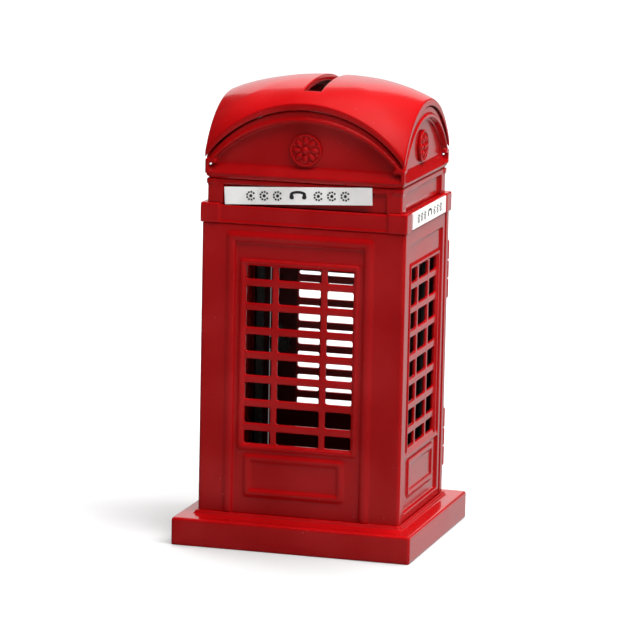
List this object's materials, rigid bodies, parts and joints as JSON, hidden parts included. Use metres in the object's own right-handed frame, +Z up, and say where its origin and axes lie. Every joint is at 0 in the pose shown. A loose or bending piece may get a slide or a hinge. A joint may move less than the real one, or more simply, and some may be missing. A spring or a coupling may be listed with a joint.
{
  "type": "money box",
  "caption": "Metal money box shaped like a red telephone booth, with a coin slot in its vaulted roof, open glazing bars and a hinged, locking back door.",
  "frame": {"origin": "centre of the plinth's underside, which is the resting plane", "axes": "+Z up, -Y towards the front wall, +X towards the hinged side of the back door"},
  "size_m": [0.0742, 0.0688, 0.1402],
  "materials": {
    "enamel": "gloss red enamel, slightly uneven",
    "steel": "zinc plated, satin",
    "sign_plate": "satin white with black pictograms"
  },
  "bodies": {
    "booth": {"plinth": "enamel", "plinth_cover": "enamel", "cover_screws": "steel", "front_panel": "enamel", "left_side_panel": "enamel", "right_side_panel": "enamel", "back_frame": "enamel", "hinge_pins": "steel", "cornice": "enamel", "neck": "enamel", "gable_ring": "enamel", "roof_vault": "enamel", "front_rosette": "enamel", "back_rosette": "enamel", "left_rosette": "enamel", "right_rosette": "enamel", "front_sign": "sign_plate", "back_sign": "sign_plate", "left_sign": "sign_plate", "right_sign": "sign_plate", "clamp_bolts": "steel"},
    "door": {"back_door": "enamel", "lock_barrel": "steel", "lock_nut": "steel"},
    "lock": {"lock_plug": "steel", "lock_cam": "steel", "cam_screw": "steel"}
  },
  "joints": [
    {"name": "door_hinge", "type": "hinge", "parent": "booth", "child": "door", "pos_m": [0.0296, 0.02775, 0.0529], "axis": [0, 0, -1], "range_deg": [0, 110]},
    {"name": "lock_turn", "type": "hinge", "parent": "door", "child": "lock", "pos_m": [-0.0211, 0.026, 0.05295], "axis": [0, -1, 0], "range_deg": [0, 90]}
  ]
}
